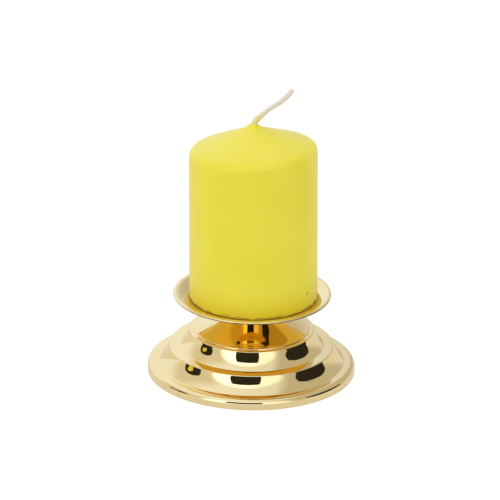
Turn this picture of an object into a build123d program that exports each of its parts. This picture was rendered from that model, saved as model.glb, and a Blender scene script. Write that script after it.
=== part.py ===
from build123d import *
import os
from math import cos, radians, sin, tan

# Polished gilt holder for a pillar candle: a stepped foot spun from sheet, a short bell-shaped neck,
# a shallow drip pan with a turned lip, and a pricket whose shank ties the stack together from below.
# Lengths are in millimetres, +Z is up, and the origin is on the table under the holder's axis.

# Stepped foot, measured inwards and upwards from its outer wall
foot_radius = 40.4
foot_height = 4.0
foot_round = 2.6
foot_ledge = 4.5
lower_riser_inset = 4.0
lower_riser_rise = 6.65
middle_ledge = 4.0
upper_riser_inset = 3.65
upper_riser_rise = 6.8
riser_hollow = 0.45
corner_round = 0.8
foot_sheet = 0.8
inner_edge_round = 0.3

# Turned neck, a bell that sweeps up from the edge of the tread and narrows a little towards the pan
neck_inset = 1.65
neck_rim = 0.5
neck_rim_round = 0.35
flare_rise = 7.25
flare_pull = 0.33
waist_radius = 8.2
head_radius = 7.5
neck_height = 11.95

# Candle that the pan is made for, which stands a little off the axis and out of true
candle_radius = 24.9
candle_height = 70.9
candle_offset = 0.45
candle_tilt = 0.82
top_slope = 20.4
top_lean = 2.5
top_tip = 4.2
shoulder_round = 4.0
candle_foot_round = 0.8
nib_radius = 1.8
nib_spread = 2.6
nib_height = 0.6
nib_bury = 0.3
seat_clearance = 0.15

# Drip pan with its turned lip
pan_sheet = 0.8
pan_margin = 6.05
pan_flat_margin = 2.0
pan_dish_rise = 0.5
seat_inset = 0.9
crease_rise = 1.3
lip_width = 3.45
lip_rise = 0.45
lip_crown = 0.2
lip_flare = 0.9
lip_depth = 1.1
lip_edge = 0.45
lip_round = 0.35

# Pricket with its collar and threaded shank
pricket_height = 20.0
pricket_radius = 2.2
pricket_tip_radius = 0.3
collar_radius = 5.0
collar_thickness = 0.8
shank_radius = 2.0
shank_tail = 1.2
shank_chamfer = 0.4
bore_clearance = 0.2
pricket_clearance = 0.3
pricket_tip_clearance = 1.5
hollow_margin = 2.0
hollow_clearance = 1.5

# Fastening under the tread
washer_width = 2.3
washer_thickness = 0.8
spring_washer_width = 1.6
spring_washer_thickness = 0.9
spring_washer_gap = 0.7
spring_washer_slant = 20.0
nut_across_flats = 7.0
nut_height = 3.2
nut_chamfer = 0.5
thread_clearance = 0.05

# Wick: its points beside and above the middle of the candle's top, and the bend at each corner
wick_radius = 1.1
wick_clearance = 0.05
wick_web = 2.0
wick_exit = 0.4
wick_route = [(0.0, 1.5), (5.2, 6.25), (10.2, 9.85), (14.3, 14.2)]
wick_bends = [4.0, 15.0, 15.0]

# Radii and heights that follow from the foot
lower_riser_foot = foot_radius - foot_ledge
lower_riser_head = lower_riser_foot - lower_riser_inset
upper_riser_foot = lower_riser_head - middle_ledge
upper_riser_head = upper_riser_foot - upper_riser_inset
middle_ledge_z = foot_height + lower_riser_rise
tread_z = middle_ledge_z + upper_riser_rise
outer_edge_round = foot_sheet + inner_edge_round
bore_radius = shank_radius + bore_clearance

# Radii and heights of the neck's sweep
bell_radius = upper_riser_head - neck_inset
bell_z = tread_z + neck_rim
waist_z = bell_z + flare_rise
bell_reach = flare_pull * (bell_radius - waist_radius)
waist_reach = flare_pull * flare_rise

# Radii and heights of the pan, and of the candle standing on it
pan_z = tread_z + neck_height
pan_floor_z = pan_z + pan_sheet
pan_radius = candle_radius + pan_margin
pan_flat_radius = head_radius + pan_flat_margin
seat_radius = candle_radius - seat_inset
seat_z = pan_floor_z + pan_dish_rise
crease_radius = pan_radius - lip_width
crease_z = seat_z + crease_rise
lip_z = crease_z + lip_rise
candle_reach = candle_radius - candle_foot_round
candle_rise = candle_reach * sin(radians(candle_tilt))
candle_z = seat_z + candle_rise + seat_clearance
top_cone_radius = 2 * candle_height / tan(radians(top_slope))
nib_root = nib_bury + (nib_radius + nib_spread) * tan(radians(top_slope + top_lean + top_tip))

# Heights of the pricket, of the hollows it takes up in the candle, and of the wick
collar_z = pan_floor_z + collar_thickness
pricket_tip_z = collar_z + pricket_height
pricket_hole_z = pricket_tip_z + pricket_tip_clearance
hollow_z = collar_z + hollow_clearance
wick_root = pricket_hole_z + wick_web - candle_z
wick_points = [(wick_exit, wick_root)] + [(wick_exit + x, candle_height + z) for x, z in wick_route]

# Heights of the fastening, stacked downwards from the underside of the tread
washer_z = tread_z - foot_sheet - washer_thickness
spring_washer_z = washer_z - spring_washer_thickness
nut_z = spring_washer_z - nut_height
nut_corner_radius = nut_across_flats / 2 / cos(radians(30))
shank_end_z = nut_z - shank_tail


def corner(sketch, across, up):
    """Corner of an open sketch that lies nearest to a point of its plane."""
    return sketch.vertices().sort_by_distance((across, up, 0))[0]


# Foot shell: its outer outline runs past the table and the axis, is hollowed by the sheet and trimmed
spare = 4 * foot_sheet
with BuildPart() as foot_shell:
    with BuildSketch(Plane.XZ) as outline:
        with BuildLine():
            Polyline((-spare, -spare), (foot_radius, -spare), (foot_radius, foot_height),
                     (lower_riser_foot, foot_height))
            SagittaArc((lower_riser_foot, foot_height), (lower_riser_head, middle_ledge_z), riser_hollow)
            Line((lower_riser_head, middle_ledge_z), (upper_riser_foot, middle_ledge_z))
            SagittaArc((upper_riser_foot, middle_ledge_z), (upper_riser_head, tread_z), riser_hollow)
            Polyline((upper_riser_head, tread_z), (-spare, tread_z), (-spare, -spare))
        make_face()
        fillet(corner(outline, foot_radius, foot_height), foot_round)
        fillet(corner(outline, lower_riser_foot, foot_height), corner_round)
        fillet(corner(outline, lower_riser_head, middle_ledge_z), outer_edge_round)
        fillet(corner(outline, upper_riser_foot, middle_ledge_z), corner_round)
        fillet(corner(outline, upper_riser_head, tread_z), outer_edge_round)
        offset(amount=-foot_sheet, mode=Mode.SUBTRACT)
        with Locations((bore_radius, 0)):
            Rectangle(foot_radius, tread_z, align=(Align.MIN, Align.MIN), mode=Mode.INTERSECT)
    revolve(axis=Axis.Z)
foot_shell.part.label = "foot_shell"

# Neck: a bell whose rim stands on the tread, bored for the shank
with BuildPart() as neck:
    with BuildSketch(Plane.XZ) as bell_section:
        with BuildLine():
            Polyline((bore_radius, pan_z), (bore_radius, tread_z), (bell_radius, tread_z), (bell_radius, bell_z))
            Bezier((bell_radius, bell_z), (bell_radius - bell_reach, bell_z),
                   (waist_radius, waist_z - waist_reach), (waist_radius, waist_z))
            Polyline((waist_radius, waist_z), (head_radius, pan_z), (bore_radius, pan_z))
        make_face()
        fillet(corner(bell_section, bell_radius, bell_z), neck_rim_round)
    revolve(axis=Axis.Z)
neck.part.label = "neck"

# Drip pan: a flat middle on the neck, a shallow floor, a sloping wall up to a crease, and a crowned lip
lip_top = (pan_radius - lip_edge, lip_z)
lip_side = (pan_radius, lip_z - lip_depth + lip_edge)
with BuildPart() as drip_pan:
    with BuildSketch(Plane.XZ) as pan_section:
        with BuildLine():
            Polyline((bore_radius, pan_floor_z), (bore_radius, pan_z), (pan_flat_radius, pan_z),
                     (seat_radius, seat_z - pan_sheet), (crease_radius, crease_z - pan_sheet),
                     (pan_radius - lip_flare, lip_z - lip_depth), lip_side, lip_top)
            SagittaArc(lip_top, (crease_radius, crease_z), -lip_crown)
            Polyline((crease_radius, crease_z), (seat_radius, seat_z), (pan_flat_radius, pan_floor_z),
                     (bore_radius, pan_floor_z))
        make_face()
        fillet(corner(pan_section, *lip_side), lip_round)
        fillet(corner(pan_section, *lip_top), lip_round)
    revolve(axis=Axis.Z)
drip_pan.part.label = "drip_pan"

# Pricket: a spike on a collar, and the shank that passes through the pan, the neck and the foot
with BuildPart() as pricket:
    with BuildSketch(Plane.XZ) as spike_section:
        with BuildLine():
            Polyline((0, shank_end_z), (shank_radius - shank_chamfer, shank_end_z),
                     (shank_radius, shank_end_z + shank_chamfer), (shank_radius, pan_floor_z),
                     (collar_radius, pan_floor_z), (collar_radius, collar_z), (pricket_radius, collar_z),
                     (pricket_tip_radius, pricket_tip_z), (0, pricket_tip_z), close=True)
        make_face()
    revolve(axis=Axis.Z)
pricket.part.label = "pricket"

# Flat washer under the tread
with BuildPart() as washer:
    with BuildSketch(Plane.XY.offset(washer_z)):
        Circle(bore_radius + washer_width)
        Circle(bore_radius, mode=Mode.SUBTRACT)
    extrude(amount=washer_thickness)
washer.part.label = "washer"

# Spring washer, pressed flat, split by a slanting saw cut
with BuildPart() as spring_washer:
    with BuildSketch(Plane.XY.offset(spring_washer_z)):
        Circle(bore_radius + spring_washer_width)
        Circle(bore_radius, mode=Mode.SUBTRACT)
    extrude(amount=spring_washer_thickness)
    saw_middle = (bore_radius + spring_washer_width / 2, 0, spring_washer_z + spring_washer_thickness / 2)
    with BuildSketch(Plane(saw_middle, x_dir=(1, 0, 0), z_dir=(0, 0, 1)).rotated((spring_washer_slant, 0, 0))):
        Rectangle(2 * spring_washer_width, spring_washer_gap)
    extrude(amount=2 * spring_washer_thickness, both=True, mode=Mode.SUBTRACT)
spring_washer.part.label = "spring_washer"

# Hexagon nut with its corners turned off at both ends
with BuildPart() as clamp_nut:
    with BuildSketch(Plane.XY.offset(nut_z)):
        Circle(nut_corner_radius)
    extrude(amount=nut_height)
    chamfer(clamp_nut.edges().filter_by(GeomType.CIRCLE), nut_chamfer)
    with BuildSketch(Plane.XY.offset(nut_z)):
        RegularPolygon(nut_across_flats / 2, 6, major_radius=False)
        Circle(shank_radius + thread_clearance, mode=Mode.SUBTRACT)
    extrude(amount=nut_height, mode=Mode.INTERSECT)
clamp_nut.part.label = "clamp_nut"

# Candle's own frame: its foot rests on the pan at one side, and it leans that way
candle_frame = Plane((candle_offset, 0, candle_z)).rotated((0, -candle_tilt, 0))

# Wick line in that frame: down the middle of the wax, out of its top and over to one side
with BuildLine(candle_frame.rotated((90, 0, 0))) as wick_line:
    FilletPolyline(*wick_points, radius=wick_bends)

# Candle: a pillar with a coned top, leaning up to the right and the front, and a drawn-up nib round the wick
with BuildPart(candle_frame) as candle:
    Cylinder(candle_radius, candle_height, align=(Align.CENTER, Align.CENTER, Align.MIN))
    with Locations((0, 0, candle_height)):
        Cone(top_cone_radius, 0, 2 * candle_height, rotation=(-top_tip, -top_lean, 0),
             align=(Align.CENTER, Align.CENTER, Align.MAX), mode=Mode.INTERSECT)
    wall_rims = candle.faces().filter_by(GeomType.CYLINDER).edges().filter_by(GeomType.LINE, reverse=True)
    fillet(wall_rims.sort_by(Axis.Z)[-1], shoulder_round)
    fillet(candle.faces().sort_by(Axis.Z)[0].edges(), candle_foot_round)
    with Locations((wick_exit, 0, candle_height - nib_root)):
        Cone(nib_radius + nib_spread, nib_radius, nib_root + nib_height,
             align=(Align.CENTER, Align.CENTER, Align.MIN))
    with BuildSketch(Plane.XZ):
        with BuildLine():
            Polyline((0, candle_z - spare), (collar_radius + hollow_margin, candle_z - spare),
                     (collar_radius + hollow_margin, hollow_z), (pricket_radius + pricket_clearance, hollow_z),
                     (pricket_tip_radius + pricket_clearance, pricket_hole_z), (0, pricket_hole_z), close=True)
        make_face()
    revolve(axis=Axis.Z, mode=Mode.SUBTRACT)
    with BuildSketch(candle_frame.offset(wick_root)):
        with Locations((wick_exit, 0)):
            Circle(wick_radius + wick_clearance)
    sweep(path=wick_line.wires()[0], mode=Mode.SUBTRACT)
candle.part.label = "candle"

# Wick in its bore
with BuildPart() as wick:
    with BuildSketch(candle_frame.offset(wick_root)):
        with Locations((wick_exit, 0)):
            Circle(wick_radius)
    sweep(path=wick_line.wires()[0])
wick.part.label = "wick"

os.makedirs("parts", exist_ok=True)
for piece in (foot_shell, neck, drip_pan, pricket, washer, spring_washer, clamp_nut, candle, wick):
    export_step(piece.part, f"parts/{piece.part.label}.step")
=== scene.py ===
import math
import bpy
import numpy as np
from mathutils import Matrix, Vector


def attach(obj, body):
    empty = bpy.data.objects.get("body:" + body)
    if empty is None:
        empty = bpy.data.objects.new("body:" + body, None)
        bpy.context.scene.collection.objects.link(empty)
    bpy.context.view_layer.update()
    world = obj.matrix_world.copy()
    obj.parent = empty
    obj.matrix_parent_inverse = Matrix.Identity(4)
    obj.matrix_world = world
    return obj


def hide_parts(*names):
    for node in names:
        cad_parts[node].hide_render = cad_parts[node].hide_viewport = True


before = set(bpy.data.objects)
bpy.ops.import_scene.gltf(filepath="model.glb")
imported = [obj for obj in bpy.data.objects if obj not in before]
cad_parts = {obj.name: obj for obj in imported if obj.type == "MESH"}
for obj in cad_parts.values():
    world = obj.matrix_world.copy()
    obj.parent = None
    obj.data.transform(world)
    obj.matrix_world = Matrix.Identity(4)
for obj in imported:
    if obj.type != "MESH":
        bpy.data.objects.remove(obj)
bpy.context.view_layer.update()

mm = 0.001  # the pieces are worked out in millimetres and put into the meshes in metres


def evenRuns(path, step):
    # long spans are divided evenly, so that no two neighbours are further apart than the step
    gaps = np.linalg.norm(np.diff(path, axis=0), axis=1)
    counts = np.maximum(1, np.ceil(gaps / step)).astype(int)
    span = np.repeat(np.arange(len(gaps)), counts)
    share = (np.arange(counts.sum()) - np.repeat(np.cumsum(counts) - counts, counts)) / counts[span]
    return np.vstack([path[span] + (path[span + 1] - path[span]) * share[:, None], path[-1:]])


def roundedRun(corners, step):
    # straight runs joined by tangent arcs: a corner (across, up, radius) is cut back by its radius times the
    # tangent of half its turn, or by less where two cuts would meet
    spot = np.array([corner[:2] for corner in corners], float)
    radius = np.array([corner[2] for corner in corners], float)
    side = np.diff(spot, axis=0)
    span = np.linalg.norm(side, axis=1)
    way = side / span[:, None]
    cross = way[:-1, 0] * way[1:, 1] - way[:-1, 1] * way[1:, 0]
    bend = np.zeros(len(spot))
    bend[1:-1] = np.arctan2(cross, (way[:-1] * way[1:]).sum(1))
    cut = radius * np.tan(np.abs(bend) / 2)
    room = 0.98 * span / np.maximum(cut[:-1] + cut[1:], 1e-9)
    cut = cut * np.minimum(1, np.minimum(np.append(room, 1), np.insert(room, 0, 1)))
    run = [spot[:1]]
    for k in range(1, len(spot) - 1):
        if cut[k] < 1e-6:
            run.append(spot[k:k + 1])
            continue
        start = spot[k] - way[k - 1] * cut[k]
        arm = np.array([way[k - 1][1], -way[k - 1][0]]) * cut[k] / math.tan(bend[k] / 2)  # centre to start
        sweep = bend[k] * np.linspace(0, 1, max(5, int(abs(bend[k]) * 9)))  # nine points a radian
        cos, sin = np.cos(sweep), np.sin(sweep)
        run.append(start - arm + np.stack([arm[0] * cos - arm[1] * sin, arm[0] * sin + arm[1] * cos], 1))
    run.append(spot[-1:])
    return evenRuns(np.concatenate(run), step)


def bowedBand(low, high, sag, lowRound, highRound):
    # parabola from low to high whose middle lies the sag off the straight line: five points (across, up,
    # radius), rounded at its curvature, with roundings of their own at the two ends
    low, high = np.array(low, float), np.array(high, float)
    reach = np.linalg.norm(high - low)
    lean = (high - low) / reach
    t = np.linspace(0, 1, 5)[:, None]
    line = low + (high - low) * t + np.array([-lean[1], lean[0]]) * sag * 4 * t * (1 - t)
    rounds = np.full(len(line), reach ** 2 / (8 * abs(sag)))
    rounds[0], rounds[-1] = lowRound, highRound
    return np.column_stack([line, rounds]).tolist()


def bellSweep(rim, rimTop, waist, rise, power, steps):
    # quarter of a superellipse: inwards as sin(w)^(2/power) and upwards as 1 - cos(w)^(2/power), with w from
    # 0 to 90 degrees
    w = np.linspace(0, np.pi / 2, steps)
    across = rim - (rim - waist) * np.sin(w) ** (2 / power)
    return np.stack([across, rimTop + rise * (1 - np.cos(w).clip(0, 1) ** (2 / power))], 1)


def smoothLine(points, steps):
    # Catmull-Rom line through the points: each span is a cubic with the slopes of its neighbours
    p = np.array(points, float)
    p = np.vstack([2 * p[0] - p[1], p, 2 * p[-1] - p[-2]])
    s = np.linspace(0, len(points) - 1, steps)
    k = np.minimum(s.astype(int), len(points) - 2)
    t = (s - k)[:, None]
    a, b, c, d = p[k], p[k + 1], p[k + 2], p[k + 3]
    square, cube = 2 * a - 5 * b + 4 * c - d, 3 * b - a - 3 * c + d
    return 0.5 * (2 * b + (c - a) * t + square * t ** 2 + cube * t ** 3)


def turnedGrid(profile, around, wander=0.0, phase=0.0):
    # surface of revolution (r cos a, r sin a, z); a spun sheet wanders by three slow waves in angle and
    # height, which die away towards the axis
    angle = np.linspace(0, 2 * np.pi, around, endpoint=False)[None, :]
    radius, height = profile[:, :1], profile[:, 1:2]
    waves = np.sin(3 * angle + 0.31 * height + phase) + 0.6 * np.sin(7 * angle - 0.47 * height + 2 * phase)
    waves = waves + 0.35 * np.sin(13 * angle + 0.9 * height + 3 * phase)
    radius = radius + wander * waves * np.clip(radius / 6, 0, 1)
    height = np.broadcast_to(height, radius.shape)
    return np.stack([radius * np.cos(angle), radius * np.sin(angle), height], -1)


def addMesh(name, points, faces, finish):
    mesh = bpy.data.meshes.new(name)
    mesh.from_pydata(points, [], faces)
    mesh.materials.append(finish)
    thing = bpy.data.objects.new(name, mesh)
    bpy.context.scene.collection.objects.link(thing)
    return thing


def addPiece(name, grid, finish, body, node, ring=False, poles=(False, False)):
    # grid[i, j] is step i of the profile and step j round it: columns close, rows close on a ring, and a pole
    # is one point
    rows, columns = grid.shape[:2]
    number = np.arange(rows * columns).reshape(rows, columns)
    number[0] = number[0, 0] if poles[0] else number[0]
    number[-1] = number[-1, 0] if poles[1] else number[-1]
    low = number if ring else number[:-1]
    high = np.roll(number, -1, 0) if ring else number[1:]
    four = np.stack([low, np.roll(low, -1, 1), np.roll(high, -1, 1), high], -1)
    first, last = int(poles[0]), four.shape[0] - int(poles[1])
    quads = four[first:last].reshape(-1, 4)
    firstFan, lastFan = four[:first, :, [0, 2, 3]], four[last:, :, [0, 1, 2]]
    fans = np.concatenate([firstFan.reshape(-1, 3), lastFan.reshape(-1, 3)])
    points = grid.reshape(-1, 3) * mm
    a, b, c, d = (points[quads[:, k]] for k in range(4))
    volume = np.einsum("ij,ij->i", a, np.cross(b, c) + np.cross(c, d)).sum()
    if volume < 0:  # faces point outwards
        quads, fans = quads[:, ::-1], fans[:, ::-1]
    used = np.unique(np.concatenate([quads.ravel(), fans.ravel()]))
    place = np.zeros(len(points), int)
    place[used] = np.arange(len(used))
    piece = addMesh(name, points[used].tolist(), place[quads].tolist() + place[fans].tolist(), finish)
    piece.data.shade_smooth()
    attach(piece, body)
    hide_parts(node)
    print("%s: %d points" % (name, len(used)))


def wire(tree, kind, inputs, **settings):
    # one node with its settings, its inputs linked or given a value
    node = tree.nodes.new(kind)
    for label, value in settings.items():
        setattr(node, label, value)
    for label, value in inputs.items():
        if isinstance(value, bpy.types.NodeSocket):
            tree.links.new(value, node.inputs[label])
        else:
            node.inputs[label].default_value = value
    return node


def maths(tree, operation, a, b=0.0):
    return wire(tree, "ShaderNodeMath", {0: a, 1: b}, operation=operation).outputs[0]


def vectorMaths(tree, operation, a, b=(0, 0, 0)):
    # a length or a distance comes out as a value, anything else as a vector
    node = wire(tree, "ShaderNodeVectorMath", {0: a, 1: b}, operation=operation)
    return node.outputs["Value" if operation in ("LENGTH", "DISTANCE") else "Vector"]


def both(tree, first, second):
    # product of two masks
    return maths(tree, "MULTIPLY", first, second)


def ramp(tree, value, low, high, start=0.0, end=1.0):
    # smooth step from start at low to end at high
    node = wire(tree, "ShaderNodeMapRange", {"Value": value, "From Min": low, "From Max": high,
                                             "To Min": start, "To Max": end}, interpolation_type="SMOOTHSTEP")
    return node.outputs["Result"]


def band(tree, value, low, high, lowSoft, highSoft):
    # mask between low and high, each a step that is soft over as much to either side
    return both(tree, ramp(tree, value, low - lowSoft, low + lowSoft),
                ramp(tree, value, high - highSoft, high + highSoft, 1.0, 0.0))


def tint(tree, share, first, second):
    # colour between two colours, each a link or plain red, green and blue
    node = wire(tree, "ShaderNodeMix", {"Factor": share}, data_type="RGBA")
    for socket, colour in ((node.inputs[6], first), (node.inputs[7], second)):
        if isinstance(colour, bpy.types.NodeSocket):
            tree.links.new(colour, socket)
        else:
            socket.default_value = (*colour, 1)
    return node.outputs[2]


def objectPlace(tree):
    return tree.nodes.new("ShaderNodeTexCoord").outputs["Object"]


def placeAxes(tree):
    return wire(tree, "ShaderNodeSeparateXYZ", {"Vector": objectPlace(tree)}).outputs


def fromAxis(tree, axis=(0, 0, 0)):
    # distance from the upright axis through a point: the length of what lies across it
    off = vectorMaths(tree, "SUBTRACT", objectPlace(tree), axis)
    return vectorMaths(tree, "LENGTH", vectorMaths(tree, "MULTIPLY", off, (1, 1, 0)))


def facingUp(tree):
    # 1 where the surface faces straight up, -1 where it faces straight down
    normal = tree.nodes.new("ShaderNodeNewGeometry").outputs["Normal"]
    return wire(tree, "ShaderNodeSeparateXYZ", {"Vector": normal}).outputs["Z"]


def noise(tree, place, size, detail=3.0, roughness=0.5):
    # fractal noise whose features are about the given size in millimetres
    scale = maths(tree, "DIVIDE", 1 / mm, size)
    return wire(tree, "ShaderNodeTexNoise", {"Vector": place, "Scale": scale, "Detail": detail,
                                             "Roughness": roughness}).outputs["Fac"]


def bumped(tree, height, depth):
    # relief of the given depth in millimetres
    node = wire(tree, "ShaderNodeBump", {"Height": height, "Distance": depth * mm, "Strength": 1.0})
    return node.outputs["Normal"]


def startGroup(name, inputs, outputs):
    # shader node group with named value inputs and their start values, and named value outputs
    group = bpy.data.node_groups.new(name, "ShaderNodeTree")
    for label, value in inputs.items():
        socket = group.interface.new_socket(label, in_out="INPUT", socket_type="NodeSocketFloat")
        socket.default_value = value
    for label in outputs:
        group.interface.new_socket(label, in_out="OUTPUT", socket_type="NodeSocketFloat")
    return group, group.nodes.new("NodeGroupInput").outputs, group.nodes.new("NodeGroupOutput").inputs


def useGroup(tree, group, values):
    return wire(tree, "ShaderNodeGroup", values, node_tree=group).outputs


def startFinish(name):
    material = bpy.data.materials.new(name)
    material.use_nodes = True
    return material, material.node_tree, material.node_tree.nodes["Principled BSDF"].inputs


# spun finish: turning lines run round the axis, so noise is read on radius and height with a trace of X
spunFinish, given, wanted = startGroup("spunFinish", {"Pitch": 0.12, "Haze Size": 14.0}, ("Lines", "Haze"))
axes = placeAxes(spunFinish)
trace = maths(spunFinish, "MULTIPLY", axes["X"], 0.004)
lined = wire(spunFinish, "ShaderNodeCombineXYZ", {"X": fromAxis(spunFinish), "Y": axes["Z"], "Z": trace})
lines = noise(spunFinish, lined.outputs["Vector"], given["Pitch"], detail=2.0)
spunFinish.links.new(lines, wanted["Lines"])
haze = noise(spunFinish, objectPlace(spunFinish), given["Haze Size"], detail=4.0, roughness=0.6)
spunFinish.links.new(ramp(spunFinish, haze, 0.45, 0.75), wanted["Haze"])

# settled dust: fine specks that only lie where the surface looks upwards
settledDust, given, wanted = startGroup("settledDust", {"Speck Size": 0.5, "Cover": 0.5}, ("Mask",))
specks = noise(settledDust, objectPlace(settledDust), given["Speck Size"], detail=2.0)
upward = ramp(settledDust, facingUp(settledDust), 0.5, 0.95)
settled = both(settledDust, ramp(settledDust, specks, 0.6, 0.72), upward)
settledDust.links.new(both(settledDust, settled, given["Cover"]), wanted["Mask"])

# wax mottle: cloudy wax with pale bloom and a soft orange-peel skin
waxMottle, given, wanted = startGroup("waxMottle", {"Cloud Size": 18.0, "Peel Size": 1.6},
                                      ("Clouds", "Bloom", "Peel"))
clouds = noise(waxMottle, objectPlace(waxMottle), given["Cloud Size"], detail=5.0, roughness=0.6)
waxMottle.links.new(ramp(waxMottle, clouds, 0.3, 0.7), wanted["Clouds"])
peel = noise(waxMottle, objectPlace(waxMottle), given["Peel Size"])
waxMottle.links.new(peel, wanted["Peel"])
bloom = both(waxMottle, ramp(waxMottle, clouds, 0.5, 0.8), ramp(waxMottle, peel, 0.45, 0.7))
waxMottle.links.new(bloom, wanted["Bloom"])
print("groups: spun finish, settled dust, wax mottle")

# drip pan: its sizes stand first, because the painted shade under the lip on the gilt and the foot of the
# candle follow them
shankBore = 2.2  # radius for the pricket's shank, through the pan, the neck and the foot
pan = {"bottom": 29.4, "sheet": 0.8, "flat": 9.5, "flatRound": 6.0, "seat": 24.0, "seatRound": 3.0,
       "dish": 0.5, "crease": 27.5, "creaseRise": 1.3, "creaseRound": 0.6, "underRound": 1.2, "lip": 30.95,
       "lipRise": 0.45, "crown": 0.2, "flare": 0.9, "flareRound": 0.25, "depth": 1.1, "edge": 0.45,
       "edgeRound": 0.35, "wander": 0.010, "phase": 2.0, "step": 0.35, "around": 360}
floorZ = pan["bottom"] + pan["sheet"]
seatZ = floorZ + pan["dish"]
creaseZ = seatZ + pan["creaseRise"]
lipZ = creaseZ + pan["lipRise"]

# polished gold-coloured plate, hazy in places and dusty on top, with painted shade: a deeper amber where it
# faces down
gilt = {"colour": (0.92, 0.745, 0.40), "hazy": (0.90, 0.71, 0.345), "dust": (0.62, 0.56, 0.44),
        "under": (0.85, 0.57, 0.085), "underShadeFull": -0.7, "underShadeNone": -0.4, "clearRough": 0.035,
        "hazyRough": 0.075, "dustRough": 0.5, "lines": 0.0012, "lipShade": (0.26, 0.17, 0.06),
        "lipShadeNone": 0.95, "lipShadeFull": 0.65, "lipShadeLow": 1.35, "lipShadeHigh": 0.40, "lipShadeSoft": 0.1}
giltMetal, tree, shader = startFinish("giltMetal")
spun = useGroup(tree, spunFinish, {"Pitch": 0.16, "Haze Size": 16.0})
dusty = useGroup(tree, settledDust, {"Speck Size": 0.35, "Cover": 0.10})
plate = tint(tree, spun["Haze"], gilt["colour"], gilt["hazy"])
plate = tint(tree, dusty["Mask"], plate, gilt["dust"])
# painted shade: faces that look down, such as the underside of the pan, are painted a deeper amber, so that
# they and their reflections in the neck read as shaded
underShadeMask = ramp(tree, facingUp(tree), gilt["underShadeFull"], gilt["underShadeNone"], 1.0, 0.0)
plate = tint(tree, underShadeMask, plate, gilt["under"])
# painted shade: a brown band on the turned edge of the pan, near the lip's radius and between two heights
# below it, stands in for the dark line of shade and reflection under the lip
lipShadeLow, lipShadeHigh = (lipZ - gilt["lipShadeLow"]) * mm, (lipZ - gilt["lipShadeHigh"]) * mm
lipShadeSoft = gilt["lipShadeSoft"] * mm
inLipShade = band(tree, placeAxes(tree)["Z"], lipShadeLow, lipShadeHigh, lipShadeSoft, lipShadeSoft)
lipShadeNone, lipShadeFull = (pan["lip"] - gilt["lipShadeNone"]) * mm, (pan["lip"] - gilt["lipShadeFull"]) * mm
inLipShade = both(tree, inLipShade, ramp(tree, fromAxis(tree), lipShadeNone, lipShadeFull))
tree.links.new(tint(tree, inLipShade, plate, gilt["lipShade"]), shader["Base Color"])
rough = ramp(tree, spun["Haze"], 0.0, 1.0, gilt["clearRough"], gilt["hazyRough"])
rough = maths(tree, "ADD", rough, maths(tree, "MULTIPLY", dusty["Mask"], gilt["dustRough"]))
tree.links.new(rough, shader["Roughness"])
shader["Metallic"].default_value = 1.0
tree.links.new(bumped(tree, spun["Lines"], gilt["lines"]), shader["Normal"])
print("finish: gilt")

# stepped foot: bullnose, two hollow risers and a flat tread, spun from one sheet
foot = {"radius": 40.4, "height": 4.0, "round": 2.0, "lowerFoot": 35.9, "lowerHead": 31.9, "ledge": 10.65,
        "upperFoot": 27.9, "upperHead": 24.25, "tread": 17.45, "sag": 0.45, "corner": 0.5, "edge": 0.5,
        "sheet": 0.8, "wander": 0.010, "phase": 0.4, "step": 0.6, "around": 320}
lowerRiser = bowedBand((foot["lowerFoot"], foot["height"]), (foot["lowerHead"], foot["ledge"]), foot["sag"],
                       foot["corner"], foot["edge"])
upperRiser = bowedBand((foot["upperFoot"], foot["ledge"]), (foot["upperHead"], foot["tread"]), foot["sag"],
                       foot["corner"], foot["edge"])
outside = roundedRun([(foot["radius"], 0, 0), (foot["radius"], foot["height"], foot["round"]), *lowerRiser,
                      *upperRiser, (shankBore, foot["tread"], 0)], foot["step"])
along = np.gradient(outside, axis=0)
inwards = np.stack([-along[:, 1], along[:, 0]], 1) / np.linalg.norm(along, axis=1)[:, None]
inside = outside + inwards * foot["sheet"]  # inner wall: the outer one moved in by the sheet
footGrid = turnedGrid(np.concatenate([outside, inside[::-1]]), foot["around"], foot["wander"], foot["phase"])
addPiece("footShell", footGrid, giltMetal, "holder", "foot_shell", ring=True)

# bell-shaped neck: one sweep from its rim on the tread to the waist, then a slight taper to the pan; the
# rounding of the rim takes the place of the first few points of the sweep
bell = {"rim": 22.6, "rimHeight": 0.5, "rimRound": 0.35, "rimPoints": 6, "waist": 8.2, "rise": 7.25,
        "power": 1.47, "sweepSteps": 110, "head": 7.5, "wander": 0.008, "phase": 1.1, "step": 0.4,
        "around": 320}
rimTop = foot["tread"] + bell["rimHeight"]
sweep = bellSweep(bell["rim"], rimTop, bell["waist"], bell["rise"], bell["power"], bell["sweepSteps"])
bellRun = roundedRun([(shankBore, pan["bottom"], 0), (shankBore, foot["tread"], 0),
                      (bell["rim"], foot["tread"], 0), (bell["rim"], rimTop, bell["rimRound"]),
                      *[(*point, 0) for point in sweep[bell["rimPoints"]:]],
                      (bell["head"], pan["bottom"], 0)], bell["step"])
bellGrid = turnedGrid(bellRun, bell["around"], bell["wander"], bell["phase"])
addPiece("bellNeck", bellGrid, giltMetal, "holder", "neck", ring=True)

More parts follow.
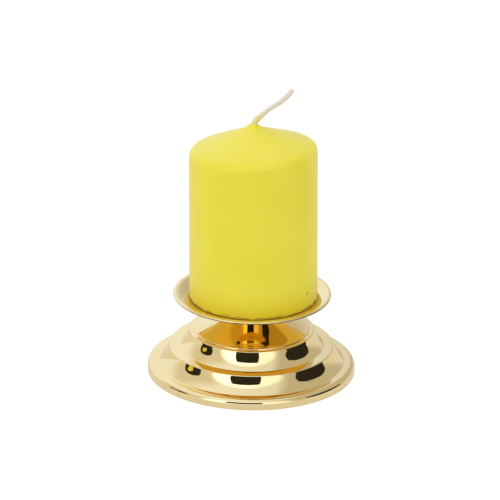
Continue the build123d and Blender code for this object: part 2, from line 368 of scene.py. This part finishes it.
# sheet of the pan: flat middle, shallow floor, a sloping wall up to a crease, and a crowned lip, run from the
# bore along the underside, round the turned edge and back over the top
lipBand = bowedBand((pan["crease"], creaseZ), (pan["lip"] - pan["edge"], lipZ), pan["crown"],
                    pan["creaseRound"], pan["edgeRound"])
edgeZ = lipZ - pan["depth"]
panRun = roundedRun([(shankBore, floorZ, 0), (shankBore, pan["bottom"], 0),
                     (pan["flat"], pan["bottom"], pan["flatRound"]),
                     (pan["seat"], seatZ - pan["sheet"], pan["seatRound"]),
                     (pan["crease"], creaseZ - pan["sheet"], pan["underRound"]),
                     (pan["lip"] - pan["flare"], edgeZ, pan["flareRound"]),
                     (pan["lip"], edgeZ + pan["edge"], pan["edgeRound"]), *lipBand[::-1],
                     (pan["seat"], seatZ, pan["seatRound"]), (pan["flat"], floorZ, 0)], pan["step"])
panGrid = turnedGrid(panRun, pan["around"], pan["wander"], pan["phase"])
addPiece("dripPan", panGrid, giltMetal, "holder", "drip_pan", ring=True)

# pillar candle: it stands out of true, so its own frame is turned about the middle of its foot by the tilt
pillar = {"offset": 0.45, "foot": 31.195, "tilt": 0.82, "radius": 24.9, "apex": 70.9, "slope": 20.4,
          "shoulder": 4.0, "lean": (0.044, -0.074), "leanFrom": 47.0, "leanOver": 13.0, "nibRoot": 3.7,
          "nibRootRound": 4.5, "nib": 1.6, "nibRound": 0.5, "nibTop": 71.3, "nibDome": 0.1, "hollow": 7.0,
          "hollowTop": 1.3, "hollowRound": 0.3, "spikeRoot": 2.5, "spikeTip": 0.6, "spikeRound": 0.2,
          "spikeTop": 21.3, "rim": 0.7, "edge": 0.05, "edgeRound": 0.12, "ragged": 0.75, "settle": 2.5,
          "settleFrom": 20.0, "settleOver": 3.0, "clear": 0.05, "step": 0.5, "around": 300}
tilt = math.radians(pillar["tilt"])
# nicks in the wax: angle round the candle in degrees, height, half width, depth and how far they are stained
nicks = ((-32.7, 6.3, 1.2, 0.06, 1.0), (-119.2, 33.9, 0.5, 0.08, 0.3), (-76.2, 26.5, 0.5, 0.08, 0.4),
         (-68.3, 30.5, 0.45, 0.08, 0.4))


def standUp(points):
    # from (across, deep, up) in the candle's frame: x = offset + across cos - up sin, and
    # z = foot + across sin + up cos
    across, deep, up = points[..., 0], points[..., 1], points[..., 2]
    return np.stack([pillar["offset"] + across * math.cos(tilt) - up * math.sin(tilt), deep,
                     pillar["foot"] + across * math.sin(tilt) + up * math.cos(tilt)], -1)


# yellow wax, with painted shade that deepens it towards the foot, stained nicks, and painted shade on the rim
# inside the edge of the wall
wax = {"colour": (0.84, 0.73, 0.024), "pale": (0.86, 0.76, 0.04), "deep": (0.84, 0.68, 0.004),
       "footShadeLow": 32.0, "footShadeHigh": 46.0, "footShadeShare": 0.9, "bloom": (0.90, 0.85, 0.35), "bloomShare": 0.12,
       "nick": (0.54, 0.47, 0.003), "nickCore": 0.3, "rim": (0.90, 0.68, 0.025), "rimShadeIn": 0.20,
       "rimShadeOut": 0.04, "rimShadeLow": 33.0, "rimShadeHigh": 34.0, "clearRough": 0.38, "cloudRough": 0.50, "peel": 0.02}
yellowWax, tree, shader = startFinish("yellowWax")
mottle = useGroup(tree, waxMottle, {"Cloud Size": 20.0, "Peel Size": 1.5})
height = placeAxes(tree)["Z"]
dyeAndShade = tint(tree, mottle["Clouds"], wax["colour"], wax["pale"])
# painted shade: the wax turns deeper and darker over its lowest stretch, for the shadow low on the candle by
# the pan
footShade = ramp(tree, height, wax["footShadeLow"] * mm, wax["footShadeHigh"] * mm, wax["footShadeShare"], 0.0)
dyeAndShade = tint(tree, footShade, dyeAndShade, wax["deep"])
dyeAndShade = tint(tree, maths(tree, "MULTIPLY", mottle["Bloom"], wax["bloomShare"]), dyeAndShade, wax["bloom"])
for bearing, lift, wide, depth, stained in nicks:
    turn = math.radians(bearing)
    spot = np.array([pillar["radius"] * math.cos(turn), pillar["radius"] * math.sin(turn), lift])
    off = vectorMaths(tree, "DISTANCE", objectPlace(tree), tuple(standUp(spot) * mm))
    inNick = ramp(tree, off, wax["nickCore"] * wide * mm, wide * mm, stained, 0.0)
    dyeAndShade = tint(tree, inNick, dyeAndShade, wax["nick"])
# painted shade: a darker band just inside the edge of the wall, low on the candle, stands in for the shadow
# in the gap under the edge
rimShadeIn, rimShadeOut = (pillar["radius"] - wax["rimShadeIn"]) * mm, (pillar["radius"] - wax["rimShadeOut"]) * mm
inRimShade = ramp(tree, fromAxis(tree, (pillar["offset"] * mm, 0, 0)), rimShadeIn, rimShadeOut, 1.0, 0.0)
rimShade = both(tree, inRimShade, ramp(tree, height, wax["rimShadeLow"] * mm, wax["rimShadeHigh"] * mm, 1.0, 0.0))
tree.links.new(tint(tree, rimShade, dyeAndShade, wax["rim"]), shader["Base Color"])
rough = ramp(tree, mottle["Clouds"], 0.0, 1.0, wax["clearRough"], wax["cloudRough"])
tree.links.new(rough, shader["Roughness"])
shader["Subsurface Weight"].default_value = 0.35
shader["Subsurface Radius"].default_value = (1.0, 0.7, 0.12)
shader["Subsurface Scale"].default_value = 3.0 * mm
shader["IOR"].default_value = 1.44
shader["Sheen Weight"].default_value = 0.20
shader["Sheen Roughness"].default_value = 0.45
tree.links.new(bumped(tree, mottle["Peel"], wax["peel"]), shader["Normal"])
print("finish: wax")

# profile of the pillar, turned about its own axis: down the hole of the spike and the hollow, out over the
# foot, up the wall, round the shoulder and up the cone to the nib
fall = math.tan(math.radians(pillar["slope"]))
wallTop = pillar["apex"] - fall * pillar["radius"]
nibFoot = pillar["apex"] - fall * pillar["nibRoot"]
pillarRun = roundedRun([(0.0, pillar["spikeTop"], 0),
                        (pillar["spikeTip"], pillar["spikeTop"], pillar["spikeRound"]),
                        (pillar["spikeRoot"], pillar["hollowTop"], 0),
                        (pillar["hollow"], pillar["hollowTop"], pillar["hollowRound"]),
                        (pillar["hollow"], 0, pillar["hollowRound"]),
                        (pillar["radius"] - pillar["rim"], 0, 0),
                        (pillar["radius"], pillar["edge"], pillar["edgeRound"]),
                        (pillar["radius"], wallTop, pillar["shoulder"]),
                        (pillar["nibRoot"], nibFoot, pillar["nibRootRound"]),
                        (pillar["nib"], pillar["nibTop"], pillar["nibRound"]),
                        (0.0, pillar["nibTop"] + pillar["nibDome"], 0)], pillar["step"])
pillarGrid = turnedGrid(pillarRun, pillar["around"])
across, deep, up = pillarGrid[..., 0], pillarGrid[..., 1], pillarGrid[..., 2]
angle = np.arctan2(deep, across)
reachOut = np.hypot(across, deep)
# the top leans to the right and to the front: every point rises by the leans times its place across and deep,
# fading in over the upper wall
fade = np.clip((up - pillar["leanFrom"]) / pillar["leanOver"], 0, 1)
fade = fade * fade * (3 - 2 * fade)
up = up + (pillar["lean"][0] * across + pillar["lean"][1] * deep) * fade
# foot: over its lowest stretch the wall, and the rim inside it, runs down to the pan, whose wall rises
# steadily outside the seat; the wall's edge stays above the rim by scallops, three waves round the edge
panSlope = pan["creaseRise"] / (pan["crease"] - pan["seat"])
panTop = seatZ + panSlope * np.clip(np.hypot(across + pillar["offset"], deep) - pan["seat"], 0, None)
down = panTop + pillar["clear"] - pillar["foot"] - across * math.sin(tilt)
waves = 0.35 * np.sin(9 * angle + 0.4) + 0.50 * np.sin(22 * angle + 2.1) + 0.35 * np.sin(37 * angle)
onEdge = np.clip((reachOut - pillar["radius"]) / pillar["rim"] + 1, 0, 1)
scallops = pillar["ragged"] * np.clip(1 + waves, 0, None) * onEdge
settling = np.clip(1 - up / pillar["settle"], 0, 1)
settling = settling * np.clip((reachOut - pillar["settleFrom"]) / pillar["settleOver"], 0, 1)
up = up + settling * (down + scallops)
# nicks: the wall sinks in by depth times exp(-(distance / half width)^2)
onWall = reachOut > pillar["settleFrom"]
for bearing, lift, wide, depth, _ in nicks:
    along = (np.mod(angle - math.radians(bearing) + np.pi, 2 * np.pi) - np.pi) * pillar["radius"]
    sink = 1 - depth * np.exp(-(along ** 2 + (up - lift) ** 2) / wide ** 2) * onWall / pillar["radius"]
    across, deep = across * sink, deep * sink
# the hollow for the pricket stays upright on the holder's axis, and the rest stands in the candle's frame
pastHollow = np.maximum.accumulate(pillarRun[:, 0] > pillar["hollow"] + 0.1)[:, None, None]
upright = np.stack([across, deep, up + pillar["foot"]], -1)
pillarGrid = np.where(pastHollow, standUp(np.stack([across, deep, up], -1)), upright)
addPiece("pillarCandle", pillarGrid, yellowWax, "candle", "candle", poles=(True, True))

# waxed cotton, stained by the wax towards the root of the wick
cotton = {"colour": (0.78, 0.75, 0.62), "shade": (0.70, 0.66, 0.52), "stain": (0.80, 0.70, 0.18),
          "stainLow": 102.5, "stainHigh": 109.5, "soak": 2.2, "fibre": 0.35, "fibreRough": 0.5,
          "shadeRough": 0.75, "relief": 0.06}
waxedCotton, tree, shader = startFinish("waxedCotton")
fibre = noise(tree, objectPlace(tree), cotton["fibre"], roughness=0.6)
thread = tint(tree, ramp(tree, fibre, 0.35, 0.7), cotton["shade"], cotton["colour"])
soaked = ramp(tree, noise(tree, objectPlace(tree), cotton["soak"], roughness=0.55), 0.35, 0.6)
nearRoot = ramp(tree, placeAxes(tree)["Z"], cotton["stainLow"] * mm, cotton["stainHigh"] * mm, 1.0, 0.0)
tree.links.new(tint(tree, both(tree, nearRoot, soaked), thread, cotton["stain"]), shader["Base Color"])
rough = ramp(tree, fibre, 0.3, 0.7, cotton["shadeRough"], cotton["fibreRough"])
tree.links.new(rough, shader["Roughness"])
shader["Subsurface Weight"].default_value = 0.2
shader["Subsurface Scale"].default_value = 0.6 * mm
tree.links.new(bumped(tree, fibre, cotton["relief"]), shader["Normal"])
print("finish: cotton")

# wick: a waxed braid whose section follows a smooth line through points (across, up) of the candle's frame;
# girth gives the radius at shares of the length
wick = {"line": [(0.4, 68.4), (0.4, 70.7), (0.75, 72.2), (1.75, 73.55), (3.6, 75.2), (5.4, 76.8), (7.5, 78.4),
                 (9.95, 80.0), (11.9, 81.6), (13.55, 83.25), (14.7, 84.8), (15.2, 85.5)],
        "girth": [(0.0, 1.22), (0.22, 1.22), (0.45, 0.90), (0.78, 1.06), (1.0, 1.0)],
        "strands": 3, "braid": 0.06, "pitch": 2.4, "ends": 0.7, "steps": 220, "around": 64}
line = smoothLine(wick["line"], wick["steps"])
run = np.gradient(line, axis=0)
run = run / np.linalg.norm(run, axis=1)[:, None]
length = np.concatenate([[0], np.cumsum(np.linalg.norm(np.diff(line, axis=0), axis=1))])
turn = np.linspace(0, 2 * np.pi, wick["around"], endpoint=False)[None, :]
twist = 2 * np.pi * length[:, None] / wick["pitch"]
# section: a circle on which two crossing sets of strands stand proud, closing as a quarter circle at each end
strands = np.maximum(np.sin(wick["strands"] * turn + twist), np.sin(wick["strands"] * turn - twist + 1.0))
fromEnd = np.minimum(length, length[-1] - length)
closing = np.sqrt(np.clip(1 - (1 - fromEnd / wick["ends"]).clip(0, 1) ** 2, 0, 1))
radius = np.interp(length / length[-1], *zip(*wick["girth"]))
girth = (radius[:, None] + wick["braid"] * (strands - 1)) * closing[:, None]
flat = np.zeros(len(line))
middle = np.stack([line[:, 0], flat, line[:, 1]], 1)[:, None, :]
sideways = np.stack([run[:, 1], flat, -run[:, 0]], 1)[:, None, :]
section = np.cos(turn)[..., None] * sideways + np.sin(turn)[..., None] * np.array([0, 1, 0])
wickGrid = standUp(middle + girth[..., None] * section)
addPiece("braidedWick", wickGrid, waxedCotton, "candle", "wick", poles=(True, True))

# zinc plate on the washers and the nut
zinc = {"colour": (0.62, 0.63, 0.64), "hazy": (0.50, 0.51, 0.50), "clearRough": 0.22, "hazyRough": 0.42,
        "lines": 0.01}
zincSteel, tree, shader = startFinish("zincSteel")
spun = useGroup(tree, spunFinish, {"Pitch": 0.25, "Haze Size": 3.0})
tree.links.new(tint(tree, spun["Haze"], zinc["colour"], zinc["hazy"]), shader["Base Color"])
rough = ramp(tree, spun["Haze"], 0.0, 1.0, zinc["clearRough"], zinc["hazyRough"])
tree.links.new(rough, shader["Roughness"])
shader["Metallic"].default_value = 1.0
tree.links.new(bumped(tree, spun["Lines"], zinc["lines"]), shader["Normal"])
print("finish: zinc")

# the pricket and the fastening under the foot keep their solids
keptSolids = {"pricket": giltMetal, "washer": zincSteel, "spring_washer": zincSteel, "clamp_nut": zincSteel}
for name, finish in keptSolids.items():
    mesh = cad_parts[name].data
    mesh.materials.clear()
    mesh.materials.append(finish)
print("kept solids: %s" % ", ".join(keptSolids))


def bareFinish(name):
    # material with no shader in it yet
    material, tree, _ = startFinish(name)
    tree.nodes.remove(tree.nodes["Principled BSDF"])
    return material, tree


def putOnSurface(tree, shader):
    tree.links.new(shader.outputs[0], tree.nodes["Material Output"].inputs["Surface"])


def seenRay(tree):
    # camera, glossy and transmission rays together
    path = tree.nodes.new("ShaderNodeLightPath").outputs
    seen = maths(tree, "MAXIMUM", path["Is Camera Ray"], path["Is Glossy Ray"])
    return maths(tree, "MAXIMUM", seen, path["Is Transmission Ray"])


# studio, in metres: a pale floor, and a light tent, dark flags and a card that only show in reflections; the
# floor is dimmer in reflections than to the camera, and behind the object warmer too
ground = {"half": 2.6, "drop": 0.0001, "colour": (0.85, 0.85, 0.85, 1), "seenColour": (0.30, 0.30, 0.30, 1),
          "seenGlow": 0.84, "mirroredGlow": 0.52, "white": (1, 1, 1), "warm": (1.0, 0.94, 0.78),
          "warmOver": 0.04}
paleFloor, tree = bareFinish("paleFloor")
toCamera = tree.nodes.new("ShaderNodeLightPath").outputs["Is Camera Ray"]
behind = ramp(tree, placeAxes(tree)["Y"], 0.0, ground["warmOver"])
warmth = both(tree, maths(tree, "SUBTRACT", 1.0, toCamera), behind)
glow = wire(tree, "ShaderNodeEmission", {
    "Color": tint(tree, warmth, ground["white"], ground["warm"]),
    "Strength": ramp(tree, toCamera, 0.0, 1.0, ground["mirroredGlow"], ground["seenGlow"])})
plain = wire(tree, "ShaderNodeBsdfDiffuse", {"Color": ground["colour"]})
shaded = wire(tree, "ShaderNodeBsdfDiffuse", {"Color": ground["seenColour"]})
shown = wire(tree, "ShaderNodeAddShader", {0: shaded.outputs[0], 1: glow.outputs[0]})
mixed = wire(tree, "ShaderNodeMixShader", {0: seenRay(tree), 1: plain.outputs[0], 2: shown.outputs[0]})
putOnSurface(tree, mixed)
edges = ((-1, -1), (1, -1), (1, 1), (-1, 1))
corners = [(ground["half"] * x, ground["half"] * y, -ground["drop"]) for x, y in edges]
floor = addMesh("floor", corners, [(0, 1, 2, 3)], paleFloor)

# the tent's cloth has a bright oval behind the front flag and two duller sides; places in it are given by
# azimuth from the camera's side and by elevation, in degrees
tent = {"radius": 2.0, "left": 1.01, "right": 0.87, "turn": 75.0, "cool": (0.95, 1.0, 1.09),
        "warm": (1.0, 0.96, 0.87), "warmBy": 0.3, "ovalCentre": (-5.0, 12.0), "ovalHalf": (50.0, 33.0),
        "ovalEdge": (0.86, 1.06), "ovalTurn": (-25.0, 15.0), "ovalLeft": 0.9, "ovalRight": 0.4,
        "dull": ((-116, -50, 0, 38, 0.26), (46, 172, 2, 64, 0.30)), "sideSoft": 12.0, "bottomSoft": 8.0,
        "topSoft": 10.0}
# a patch below the horizon lies just over the floor: as far off as a step of the foot looks down at its angle
onFloor = {"stepRadius": 0.035, "stepHeight": 0.006, "leastFall": 0.003, "lift": 0.0003}


def studioPatch(name, west, east, bottom, top, away, squareness, slant=0.0):
    # patch of a sphere in azimuth and elevation, with a point about every 5 degrees; below 1, squareness
    # rounds its corners, u sqrt(1 - (1 - squareness) v^2 / 2), and slant raises its east side
    u = np.linspace(-1, 1, max(5, int((east - west) / 5)))[None, :]
    v = np.linspace(-1, 1, max(5, int((top - bottom) / 5)))[:, None]
    bulge = 1 - squareness
    azimuth = (west + east) / 2 + (east - west) / 2 * u * np.sqrt(1 - bulge * v * v / 2)
    elevation = (bottom + top) / 2 + (top - bottom) / 2 * v * np.sqrt(1 - bulge * u * u / 2) + slant * u
    turn, lift = np.radians(azimuth), np.radians(elevation)
    fall = np.maximum(np.sin(-lift), onFloor["leastFall"])
    far = np.minimum(away, onFloor["stepRadius"] + onFloor["stepHeight"] / fall)
    way = np.stack([np.cos(lift) * np.sin(turn), -np.cos(lift) * np.cos(turn), np.sin(lift)], -1)
    points = far[..., None] * way
    points[..., 2] = np.maximum(points[..., 2], onFloor["lift"])
    number = np.arange(points.shape[0] * points.shape[1]).reshape(points.shape[:2])
    quads = np.stack([number[:-1, :-1], number[1:, :-1], number[1:, 1:], number[:-1, 1:]], -1)
    cloth, tree = bareFinish(name)
    patch = addMesh(name, points.reshape(-1, 3).tolist(), quads.reshape(-1, 4).tolist(), cloth)
    patch.visible_camera = False
    patch.visible_diffuse = False
    patch.visible_shadow = False
    return tree


tree = studioPatch("lightTent", -180, 180, 0, 90, tent["radius"], 1.0)
axes = placeAxes(tree)
bearing = maths(tree, "DEGREES", maths(tree, "ARCTAN2", axes["X"], maths(tree, "MULTIPLY", axes["Y"], -1.0)))
lift = maths(tree, "DEGREES", maths(tree, "ARCSINE", maths(tree, "DIVIDE", axes["Z"], tent["radius"])))
# oval: distance from its centre in halves, 1 at its edge, brighter on the left than on the right
offs = [maths(tree, "DIVIDE", maths(tree, "SUBTRACT", value, centre), half)
        for value, centre, half in zip((bearing, lift), tent["ovalCentre"], tent["ovalHalf"])]
apart = wire(tree, "ShaderNodeCombineXYZ", {"X": offs[0], "Y": offs[1]}).outputs["Vector"]
inOval = ramp(tree, vectorMaths(tree, "LENGTH", apart), *tent["ovalEdge"], 1.0, 0.0)
oval = maths(tree, "MULTIPLY", inOval,
             ramp(tree, bearing, *tent["ovalTurn"], tent["ovalLeft"], tent["ovalRight"]))
# duller sides: soft bands of azimuth and elevation, each with what it takes away
dulled = 0.0
for west, east, bottom, top, loss in tent["dull"]:
    side = both(tree, band(tree, bearing, west, east, tent["sideSoft"], tent["sideSoft"]),
                band(tree, lift, bottom, top, tent["bottomSoft"], tent["topSoft"]))
    dulled = maths(tree, "ADD", maths(tree, "MULTIPLY", side, loss), dulled)
walls = ramp(tree, bearing, -tent["turn"], tent["turn"], tent["left"], tent["right"])
putOnSurface(tree, wire(tree, "ShaderNodeEmission", {
    "Color": tint(tree, ramp(tree, dulled, 0.0, tent["warmBy"]), tent["cool"], tent["warm"]),
    "Strength": maths(tree, "SUBTRACT", maths(tree, "ADD", oval, walls), dulled)}))

# dark flags in front of the tent, and a small yellow card in front of the left one: each has its cloth, then
# west, east, bottom and top in degrees, distance, squareness and slant
darkCloth = {"Color": (1.0, 0.9, 0.7, 1), "Strength": 0.025}
yellowCloth = {"Color": (0.95, 0.80, 0.12, 1), "Strength": 0.8}
flags = {"flagFront": (darkCloth, -28, 14, 4.5, 35.5, 1.8, 0.6, 0),
         "flagLeft": (darkCloth, -98, -71, 0, 22, 1.8, 0.15, 2),
         "flagRight": (darkCloth, 62, 113, -3, 28, 1.8, 0.1, -5),
         "yellowCard": (yellowCloth, -93, -84, 7, 15, 1.75, 0.2, 0)}
for name, (cloth, *sides) in flags.items():
    tree = studioPatch(name, *sides)
    putOnSurface(tree, wire(tree, "ShaderNodeEmission", cloth))

# key lamp: large and soft, from the upper left, and not shown by the metal
key = {"spot": (-1.5, -1.0, 1.75), "aim": (0, 0, 0.06), "size": 1.0, "power": 6.5}
lamp = bpy.data.lights.new("keyLamp", "AREA")
lamp.size = key["size"]
lamp.energy = key["power"]
keyLamp = bpy.data.objects.new("keyLamp", lamp)
keyLamp.location = key["spot"]
keyLamp.rotation_euler = (Vector(key["aim"]) - Vector(key["spot"])).to_track_quat("-Z", "Y").to_euler()
keyLamp.visible_glossy = False
bpy.context.scene.collection.objects.link(keyLamp)

# white world, a little dimmer as a light than it looks
sky = {"colour": (1, 1, 1, 1), "lit": 0.92, "seen": 1.0}
world = bpy.data.worlds.new("studioWorld")
bpy.context.scene.world = world
world.use_nodes = True
tree = world.node_tree
background = tree.nodes["Background"].inputs
background["Color"].default_value = sky["colour"]
tree.links.new(ramp(tree, seenRay(tree), 0.0, 1.0, sky["lit"], sky["seen"]), background["Strength"])
print("studio: floor, tent, %d flags and cards, key lamp" % len(flags))

# camera: fitted to the outlines of the foot, the pan and the candle; focal, middle and image are in pixels
view = {"elevation": 22.34, "away": 2.5, "aim": 0.050, "roll": 0.86, "focal": 6450.0,
        "middle": (252.9, 250.2), "image": 500.0, "sensor": 36.0, "clip": 50.0}
dip = math.radians(view["elevation"])
lens = bpy.data.cameras.new("camera")
lens.sensor_width = view["sensor"]
lens.lens = view["focal"] / view["image"] * view["sensor"]
lens.shift_x = (view["image"] / 2 - view["middle"][0]) / view["image"]
lens.shift_y = (view["middle"][1] - view["image"] / 2) / view["image"]
lens.clip_end = view["clip"]
camera = bpy.data.objects.new("camera", lens)
camera.location = (0, -view["away"] * math.cos(dip), view["aim"] + view["away"] * math.sin(dip))
level = Matrix.Rotation(math.pi / 2 - dip, 3, "X")
camera.rotation_euler = (level @ Matrix.Rotation(math.radians(view["roll"]), 3, "Z")).to_euler()
bpy.context.scene.collection.objects.link(camera)
bpy.context.scene.camera = camera
bpy.context.scene.view_settings.view_transform = "Standard"
print("camera: %.1f mm lens" % lens.lens)
